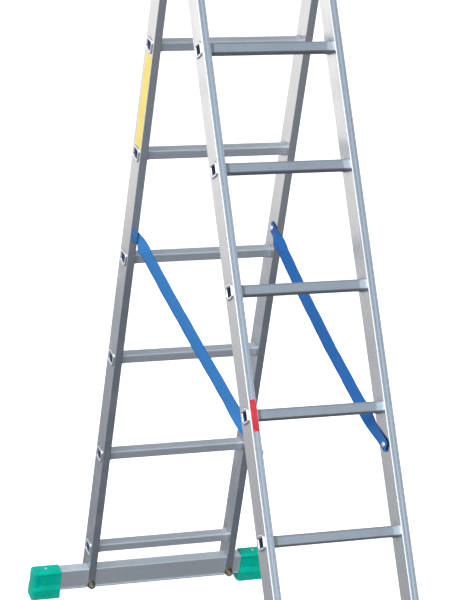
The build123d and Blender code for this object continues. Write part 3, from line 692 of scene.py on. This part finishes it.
def sticker_film(name, section, base, middle, half_size):
    """Plain glossy film whose edges are scuffed; middle and half_size are (across, along) in metres."""
    material, tree, shader = new_material(name, coat_weight=0.12, coat_roughness=0.2)
    place = section_place(tree, section)
    wear = use_group(tree, "handling_wear", {"Vector": place, "Scale": 3.0})
    x, y, z = axes(tree, place)
    across = y if section == "rear" else x
    insets = []
    for value, centre, half in zip((across, z), middle, half_size):
        off_centre = unsigned(tree, calculate(tree, "SUBTRACT", value, centre))
        insets.append(calculate(tree, "SUBTRACT", half, off_centre))
    to_edge = calculate(tree, "MINIMUM", *insets)
    rub = use_group(tree, "edge_rub", {"Vector": place, "Distance": to_edge, "Width": 0.0012})
    fade = stretch(tree, noise(tree, place, 24.0, 3.0), 0.3, 0.7)
    pale = tuple(min(1.0, part * 1.05 + 0.02) for part in base)
    colour = mixed(tree, fade, darker(base, 0.96), pale)
    colour = stained(tree, colour, wear["Smudge"], 0.25, darker(base, 0.8))
    colour = stained(tree, colour, rub["Rub"], 0.7, (0.85, 0.85, 0.84))
    colour = stained(tree, colour, wear["Scratch"], 0.45, (0.9, 0.9, 0.88))
    rough = stretch(tree, fade, 0.0, 1.0, 0.3, 0.4)
    rough = added(tree, rub["Rub"], 0.2, rough)
    feed(tree, shader, colour, rough)
    bumped(tree, shader, noise(tree, place, 240.0, 2.0), 0.08, 0.0003)
    return material


def blue_webbing(name, base):
    """Dyed twill webbing: raised yarns, darker valleys and bound, darker selvedges."""
    look = bpy.context.scene.ladder_strap
    material, tree, shader = new_material(
        name, sheen_weight=0.08, sheen_roughness=0.4, specular_ior_level=0.2
    )
    uv = tree.nodes.new("ShaderNodeTexCoord").outputs["UV"]
    weave = use_group(tree, "webbing_weave", {"UV": uv, "Half Width": look.width / 2})
    pale = tuple(min(1.0, part * 1.25 + 0.012) for part in base)
    colour = mixed(tree, weave["Height"], darker(base, 0.55), pale)
    colour = stained(tree, colour, weave["Yarn"], 0.3, darker(base, 0.8))
    colour = stained(tree, colour, weave["Selvedge"], 0.55, darker(base, 0.35))
    rough = stretch(tree, weave["Height"], 0.0, 1.0, 0.85, 0.62)
    feed(tree, shader, colour, rough)
    bumped(tree, shader, weave["Height"], 0.5, 0.0004)
    return material


def dress(names, material):
    """Put a material on CAD nodes."""
    for name in names:
        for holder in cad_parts[name].material_slots:
            holder.material = material


def deselect_all():
    """Leave edit mode and clear the selection."""
    if bpy.context.object and bpy.context.object.mode != "OBJECT":
        bpy.ops.object.mode_set(mode="OBJECT")
    bpy.ops.object.select_all(action="DESELECT")


def apply_modifiers(piece):
    """Apply a piece's modifiers in order."""
    bpy.context.view_layer.objects.active = piece
    for modifier in list(piece.modifiers):
        bpy.ops.object.modifier_apply(modifier=modifier.name)


def add_cylinder(sides, radius, depth, place, turn=(0.0, 0.0, 0.0)):
    """A cylinder, alone in the selection."""
    deselect_all()
    bpy.ops.mesh.primitive_cylinder_add(
        vertices=sides, radius=radius, depth=depth, location=place, rotation=turn
    )
    return bpy.context.object


def cut(piece, tool, operation):
    """Add a boolean with a tool to a piece's modifiers."""
    modifier = piece.modifiers.new(operation.lower(), "BOOLEAN")
    modifier.operation = operation
    modifier.object = tool
    modifier.solver = "EXACT"


def shade(piece, degrees):
    """Shade a piece smooth, apart from edges sharper than an angle."""
    deselect_all()
    piece.select_set(True)
    bpy.context.view_layer.objects.active = piece
    bpy.ops.object.shade_smooth_by_angle(angle=math.radians(degrees))


def smooth_falloff(value, low, high):
    """0 below low, 1 above high, smooth between."""
    share = min(1.0, max(0.0, (value - low) / (high - low)))
    return share * share * (3.0 - 2.0 * share)


class StrapRun:
    """The line, twist and width of a strap between its rivets; side is 1 for the right, -1 for the left."""

    def __init__(self, side):
        look = bpy.context.scene.ladder_strap
        mirror = Vector((side, 1.0, 1.0))
        self.start = from_section("rear", REAR_ANCHOR * mirror)
        self.stop = from_section("front", FRONT_ANCHOR * mirror)
        self.length = (self.stop - self.start).length
        self.along = (self.stop - self.start) / self.length
        self.side = side
        across = Vector((1.0, 0.0, 0.0))
        self.flat = (across - self.along * across.dot(self.along)).normalized()
        self.upright = self.along.cross(self.flat)
        if self.upright.z < 0.0:
            self.upright = -self.upright
        self.half = look.width / 2
        self.sag = look.right_sag if side > 0 else look.left_sag
        self.tail = look.tail

    def half_width(self, reach):
        """Half the width at a distance from the rear rivet, less at the cut corners."""
        corner = 0.0045
        to_end = min(reach + self.tail, self.length + self.tail - reach)
        return self.half - max(0.0, corner - to_end) * 0.9

    def turn(self, reach, share):
        """How far the webbing is turned from on edge to flat; its inboard half turns nearer the rivets."""
        to_front = self.length - reach
        inboard = smooth_falloff(reach, 0.008, 0.085) * smooth_falloff(to_front, 0.010, 0.19)
        outboard = smooth_falloff(reach, 0.018, 0.090) * smooth_falloff(to_front, 0.050, 0.20)
        half = smooth_falloff(-share * self.side, -0.45, 0.45)
        return math.radians(90.0) * (outboard + (inboard - outboard) * half)

    def place(self, reach, share):
        """A point of the strap: its distance from the rear rivet, and -1 to 1 across."""
        part = min(1.0, max(0.0, reach / self.length))
        drop = Vector((0.0, 0.0, -self.sag * 4.0 * part * (1.0 - part)))
        point = self.start + self.along * reach + drop
        steps = 8
        stride = share * self.half_width(reach) / steps
        for step in range(steps):
            angle = self.turn(reach, share * (step + 0.5) / steps)
            point += (self.upright * math.cos(angle) + self.flat * math.sin(angle)) * stride
        to_front = self.length - reach
        angle = self.turn(reach, share)
        normal = self.flat * math.cos(angle) - self.upright * math.sin(angle)
        ripple = 0.0006 * math.sin(reach * 31.0) + 0.0004 * math.sin(reach * 83.0 + 1.0)
        settle = smooth_falloff(reach, 0.03, 0.08) * smooth_falloff(to_front, 0.06, 0.11)
        return point + normal * settle * (ripple - 0.0009 * share * share)


class LADDER_OT_finish_aluminium(bpy.types.Operator):
    """Give the stiles, rungs and stabiliser bar their drawn aluminium"""

    bl_idname = "ladder.finish_aluminium"
    bl_label = "Finish the aluminium"

    def execute(self, context):
        for section in SECTIONS:
            dress([f"{section}_{side}_stile" for side in ("right", "left")], stile_aluminium(section))
            dress([f"{section}_rung_{number}" for number in range(1, 8)], rung_aluminium(section))
        dress(["stabiliser_bar"], bar_aluminium())
        return {"FINISHED"}


class LADDER_OT_finish_fittings(bpy.types.Operator):
    """Give the hinge pieces, catches, bolts, washers and rivets their plating"""

    bl_idname = "ladder.finish_fittings"
    bl_label = "Finish the fittings"

    def execute(self, context):
        look = context.scene.ladder_metal
        tint = darker(look.zinc_colour, 0.86)
        zinc = plated_steel("clear zinc plating", look.zinc_colour, tint, 0.32, "front")
        hinge = ["hinge_plate", "hinge_pin", "hinge_hook", "catch"]
        dress([f"{side}_{piece}" for side in ("right", "left") for piece in hinge], zinc)
        dress(["stabiliser_bolts"], threaded_steel())
        rainbow = tuple(part * share for part, share in zip(look.passivated_colour, (0.86, 1.02, 1.35)))
        yellow = plated_steel("yellow zinc plating", look.passivated_colour, rainbow, 0.3, "rear")
        dress(["stabiliser_washers", "stabiliser_nuts"], yellow)
        riveted = ["stabiliser_foot", "hinge_plate", "rear_strap", "front_foot", "hinge_hook", "catch"]
        dress([f"{name}_rivets" for name in riveted + ["front_strap"]], rivet_metal())
        return {"FINISHED"}


class LADDER_OT_finish_plastics(bpy.types.Operator):
    """Give the feet and the top caps their moulded plastic"""

    bl_idname = "ladder.finish_plastics"
    bl_label = "Finish the plastics"

    def execute(self, context):
        feet = moulded_plastic("moulded plastic of the feet", 0.0)
        dress(["right_stabiliser_foot", "left_stabiliser_foot", "front_right_foot", "front_left_foot"], feet)
        caps = moulded_plastic("moulded plastic of the caps", -1.0)
        dress([f"{section}_{side}_top_cap" for section in SECTIONS for side in ("right", "left")], caps)
        return {"FINISHED"}


class LADDER_OT_finish_stickers(bpy.types.Operator):
    """Give the two plain stickers their film"""

    bl_idname = "ladder.finish_stickers"
    bl_label = "Finish the stickers"

    def execute(self, context):
        look = context.scene.ladder_plastic
        for name, section, colour, middle, half_size in (
            ("side", "rear", look.side_colour, (-0.005, 1.2595), (0.0195, 0.1195)),
            ("face", "front", look.face_colour, (-0.1603, 0.5565), (0.008, 0.0365)),
        ):
            film = sticker_film(f"film of the {name} sticker", section, colour, middle, half_size)
            dress([f"{name}_sticker"], film)
        return {"FINISHED"}


class LADDER_OT_make_straps(bpy.types.Operator):
    """Weave the two spreader straps, flat along their run and turned on edge at the rivets"""

    bl_idname = "ladder.make_straps"
    bl_label = "Make the straps"

    def execute(self, context):
        look = context.scene.ladder_strap
        # The left strap gets its paler colour as painted light.
        for side, name, colour in ((1, "right", look.right_colour), (-1, "left", look.left_lit_colour)):
            webbing = blue_webbing(f"{name} strap webbing", colour)
            run = StrapRun(side)
            low = -run.tail
            for number, (share, turn_from, turn_to) in enumerate(STRAP_LENGTHS, 1):
                last = number == len(STRAP_LENGTHS)
                high = run.length + run.tail if last else run.length * share
                piece = self.weave(run, low, high, f"{name}_strap_length_{number}")
                piece.data.materials.append(webbing)
                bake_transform(piece)
                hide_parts(f"{name}_strap")
                low = high
        return {"FINISHED"}

    def weave(self, run, low, high, name):
        """One length of webbing from low to high along a strap, with a hole at a rivet it covers."""
        row_length, columns = 0.003, 14
        rows = max(6, round((high - low) / row_length))
        deselect_all()
        bpy.ops.mesh.primitive_grid_add(x_subdivisions=rows, y_subdivisions=columns, size=2.0)
        piece = bpy.context.object
        piece.name = name
        mesh = piece.data
        mesh.name = name
        spots = [((vertex.co.x + 1.0) / 2.0, vertex.co.y) for vertex in mesh.vertices]
        reaches = [low + (high - low) * spot[0] for spot in spots]
        uv = mesh.uv_layers[0].data
        for loop in mesh.loops:
            reach, share = reaches[loop.vertex_index], spots[loop.vertex_index][1]
            uv[loop.index].uv = (reach, share * run.half_width(reach))
        for vertex, reach, spot in zip(mesh.vertices, reaches, spots):
            vertex.co = run.place(reach, spot[1])
        thicken = piece.modifiers.new("webbing thickness", "SOLIDIFY")
        thicken.thickness = bpy.context.scene.ladder_strap.thickness
        thicken.offset = 0.0
        punches = []
        for rivet_reach in (0.0, run.length):
            if low < rivet_reach < high:
                spot = run.start + run.along * rivet_reach
                sideways = (0.0, math.radians(90.0), 0.0)
                punches.append(add_cylinder(32, RIVET_HOLE_RADIUS, 0.02, spot, sideways))
                cut(piece, punches[-1], "DIFFERENCE")
        apply_modifiers(piece)
        shade(piece, 40.0)
        for punch in punches:
            bpy.data.objects.remove(punch)
        return piece


class LADDER_OT_make_nuts(bpy.types.Operator):
    """Forge the two chamfered hexagon nuts on the stabiliser bar's bolts"""

    bl_idname = "ladder.make_nuts"
    bl_label = "Make the nuts"

    def execute(self, context):
        size = context.scene.ladder_fixing
        lean = Matrix.Rotation(-SECTIONS["rear"]["lean"], 4, "X")
        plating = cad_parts["stabiliser_nuts"].material_slots[0].material
        for side, name in ((1, "right"), (-1, "left")):
            piece = self.forge(size, f"{name}_stabiliser_nut")
            seat = NUT_SEAT * Vector((side, 1.0, 1.0))
            upright = Matrix.Rotation(math.radians(90.0), 4, "X")
            piece.data.transform(Matrix.Translation(from_section("rear", seat)) @ lean @ upright)
            piece.data.materials.append(plating)
            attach(piece, "rear_section")
            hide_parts("stabiliser_nuts")
        return {"FINISHED"}

    def forge(self, size, name):
        """A nut that stands on z = 0: a hexagon turned to cones at both ends and drilled."""
        corner = size.across_flats / 2 / math.cos(math.radians(30.0))
        middle = (0.0, 0.0, size.height / 2)
        piece = add_cylinder(6, corner, size.height, middle)
        piece.name = name
        piece.data.name = name
        bpy.ops.object.transform_apply(location=True, rotation=True, scale=True)
        turning = add_cylinder(64, corner, size.height, middle)
        chamfer = turning.modifiers.new("turned ends", "BEVEL")
        chamfer.width = 0.0011
        chamfer.segments = 3
        chamfer.limit_method = "ANGLE"
        drill = add_cylinder(48, size.bore / 2, size.height * 3, middle)
        cut(piece, turning, "INTERSECT")
        cut(piece, drill, "DIFFERENCE")
        ease = piece.modifiers.new("eased edges", "BEVEL")
        ease.width = 0.00025
        ease.segments = 2
        ease.limit_method = "ANGLE"
        ease.angle_limit = math.radians(35.0)
        apply_modifiers(piece)
        for tool in (turning, drill):
            bpy.data.objects.remove(tool)
        shade(piece, 35.0)
        return piece


def ramp(tree, value, stops):
    """A colour ramp over -1 to 1, from (value, colour) stops."""
    node = add_node(tree, "ShaderNodeValToRGB", {"Fac": stretch(tree, value, -1.0, 1.0, smooth=False)})
    elements = node.color_ramp.elements
    while len(elements) > 1:
        elements.remove(elements[-1])
    for number, (level, colour) in enumerate(stops):
        position = (level + 1.0) / 2.0
        element = elements[0] if number == 0 else elements.new(position)
        element.position = position
        element.color = tuple(colour) + (1.0,)
    return node.outputs["Color"]


class LADDER_OT_set_stage(bpy.types.Operator):
    """Set the camera, the pale floor and the soft studio light"""

    bl_idname = "ladder.set_stage"
    bl_label = "Set the stage"

    def execute(self, context):
        stage = context.scene.ladder_stage
        context.scene.view_settings.view_transform = "Standard"
        self.stand_camera(context, stage)
        self.lay_floor(stage)
        self.light_world(context)
        self.hang_light("key softbox", (-3.2, -3.8, 3.0), 2.6, 170.0)
        self.hang_light("fill softbox", (3.4, -3.2, 2.0), 3.0, 110.0)
        self.hang_light("top softbox", (0.0, 1.2, 4.6), 3.4, 12.0)
        return {"FINISHED"}

    def stand_camera(self, context, stage):
        """Put the camera where the picture was taken from."""
        deselect_all()
        bpy.ops.object.camera_add(location=stage.camera_place, rotation=stage.camera_turn)
        camera = bpy.context.object
        camera.name = "camera"
        camera.data.lens = stage.focal_length
        camera.data.sensor_width = 36.0
        camera.data.clip_end = 500.0
        context.scene.camera = camera

    def lay_floor(self, stage):
        """A wide pale floor that glows a little, so that its far side stays as pale as its near side."""
        deselect_all()
        bpy.ops.mesh.primitive_plane_add(size=stage.floor_size, location=(0.0, 0.0, 0.0))
        floor = bpy.context.object
        floor.name = "floor"
        material = bpy.data.materials.new("pale floor")
        material.use_nodes = True
        tree = material.node_tree
        shader = tree.nodes["Principled BSDF"]
        shader.inputs["Base Color"].default_value = tuple(stage.floor_colour) + (1.0,)
        shader.inputs["Roughness"].default_value = 0.9
        shader.inputs["Specular IOR Level"].default_value = 0.0
        shader.inputs["Emission Color"].default_value = (1.0, 1.0, 1.0, 1.0)
        shader.inputs["Emission Strength"].default_value = 0.62
        floor.data.materials.append(material)
        floor.visible_glossy = False
        floor.visible_diffuse = False

    def light_world(self, context):
        """A studio all round: a pale band behind, a cool front and a bright wall at the left."""
        world = bpy.data.worlds.new("studio")
        world.use_nodes = True
        context.scene.world = world
        tree = world.node_tree
        tree.nodes.clear()
        way = tree.nodes.new("ShaderNodeTexCoord").outputs["Generated"]
        x, y, z = axes(tree, way)
        behind = ramp(tree, z, [
            (-1.0, (0.10, 0.10, 0.11)),
            (-0.5, (0.15, 0.155, 0.17)),
            (-0.27, (0.34, 0.35, 0.38)),
            (-0.16, (0.53, 0.53, 0.55)),
            (-0.1, (0.86, 0.85, 0.85)),
            (-0.04, (1.15, 1.12, 1.10)),
            (0.1, (1.1, 1.07, 1.04)),
            (0.3, (0.66, 0.66, 0.68)),
            (0.7, (0.42, 0.45, 0.52)),
            (1.0, (0.40, 0.42, 0.46)),
        ])
        under = times(tree, stretch(tree, x, 0.1, 0.3), stretch(tree, z, -0.2, -0.34))
        under = times(tree, under, stretch(tree, z, -0.57, -0.46))
        behind = gained(tree, behind, stretch(tree, under, 0.0, 1.0, 1.0, 0.45))
        before = ramp(tree, z, [
            (-1.0, (0.17, 0.18, 0.20)),
            (-0.7, (0.255, 0.272, 0.30)),
            (-0.3, (0.26, 0.29, 0.33)),
            (-0.08, (0.42, 0.47, 0.54)),
            (0.0, (1.25, 1.3, 1.36)),
            (0.08, (0.62, 0.70, 0.79)),
            (0.3, (0.60, 0.71, 0.83)),
            (0.45, (0.56, 0.67, 0.80)),
            (0.6, (0.45, 0.545, 0.66)),
            (1.0, (0.36, 0.39, 0.44)),
        ])
        toward_left = stretch(tree, x, 0.34, -0.1, 1.0, 2.1)
        above = stretch(tree, z, -0.2, 0.2)
        more = calculate(tree, "SUBTRACT", toward_left, 1.0)
        left_gain = added(tree, more, above, 1.0)
        before = gained(tree, before, left_gain)
        sky = mixed(tree, stretch(tree, y, -0.3, 0.3), before, behind)
        sky = gained(tree, sky, stretch(tree, x, 0.40, 0.62, 1.0, 0.28))
        aim = {0: way, 1: (-0.89, -0.28, 0.36)}
        toward = add_node(tree, "ShaderNodeVectorMath", aim, operation="DOT_PRODUCT")
        wall = stretch(tree, toward.outputs["Value"], 0.72, 0.97, 0.0, 1.25)
        glow = gained(tree, (1.0, 1.0, 1.0), wall)
        sky = add_node(tree, "ShaderNodeVectorMath", {0: sky, 1: glow}, operation="ADD").outputs[0]
        backdrop = (0.95, 0.95, 0.95, 1.0)
        lit, plain = (
            add_node(tree, "ShaderNodeBackground", {"Color": tone, "Strength": 1.0}).outputs[0]
            for tone in (sky, backdrop)
        )
        seen = tree.nodes.new("ShaderNodeLightPath").outputs["Is Camera Ray"]
        choice = add_node(tree, "ShaderNodeMixShader", {0: seen, 1: lit, 2: plain}).outputs[0]
        add_node(tree, "ShaderNodeOutputWorld", {"Surface": choice})

    def hang_light(self, name, place, size, power):
        """A large softbox aimed at the ladder, which lights it without showing in the metal."""
        deselect_all()
        bpy.ops.object.light_add(type="AREA", location=place)
        light = bpy.context.object
        light.name = name
        light.data.size = size
        light.data.energy = power
        aim = Vector((0.0, 0.0, 0.8)) - Vector(place)
        light.rotation_euler = aim.to_track_quat("-Z", "Y").to_euler()
        light.visible_glossy = False
        light.visible_camera = False


class LADDER_PT_panel(bpy.types.Panel):
    """The ladder's tools, in the order they are used"""

    bl_idname = "LADDER_PT_panel"
    bl_label = "Ladder"
    bl_space_type = "VIEW_3D"
    bl_region_type = "UI"
    bl_category = "Ladder"

    def draw(self, context):
        layout = self.layout
        for group in GROUPS_OF_SETTINGS:
            box = layout.box()
            settings = getattr(context.scene, group)
            for key in settings.bl_rna.properties.keys():
                if key not in ("rna_type", "name"):
                    box.prop(settings, key)
        for operator in OPERATORS:
            layout.operator(operator.bl_idname)


GROUPS_OF_SETTINGS = {
    "ladder_metal": LadderMetal,
    "ladder_plastic": LadderPlastic,
    "ladder_strap": LadderStrap,
    "ladder_fixing": LadderFixing,
    "ladder_stage": LadderStage,
}
OPERATORS = [
    LADDER_OT_finish_aluminium,
    LADDER_OT_finish_fittings,
    LADDER_OT_finish_plastics,
    LADDER_OT_finish_stickers,
    LADDER_OT_make_straps,
    LADDER_OT_make_nuts,
    LADDER_OT_set_stage,
]


def register():
    """Add the settings, the operators and the panel."""
    for name, group in GROUPS_OF_SETTINGS.items():
        bpy.utils.register_class(group)
        setattr(bpy.types.Scene, name, bpy.props.PointerProperty(type=group))
    for operator in OPERATORS:
        bpy.utils.register_class(operator)
    bpy.utils.register_class(LADDER_PT_panel)


def unregister():
    """Take them away again."""
    bpy.utils.unregister_class(LADDER_PT_panel)
    for operator in reversed(OPERATORS):
        bpy.utils.unregister_class(operator)
    for name, group in GROUPS_OF_SETTINGS.items():
        delattr(bpy.types.Scene, name)
        bpy.utils.unregister_class(group)


def main():
    """Finish the ladder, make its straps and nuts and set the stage."""
    register()
    build_groups()
    bpy.ops.ladder.finish_aluminium()
    bpy.ops.ladder.finish_fittings()
    bpy.ops.ladder.finish_plastics()
    bpy.ops.ladder.finish_stickers()
    bpy.ops.ladder.make_straps()
    bpy.ops.ladder.make_nuts()
    bpy.ops.ladder.set_stage()


if __name__ == "__main__":
    main()
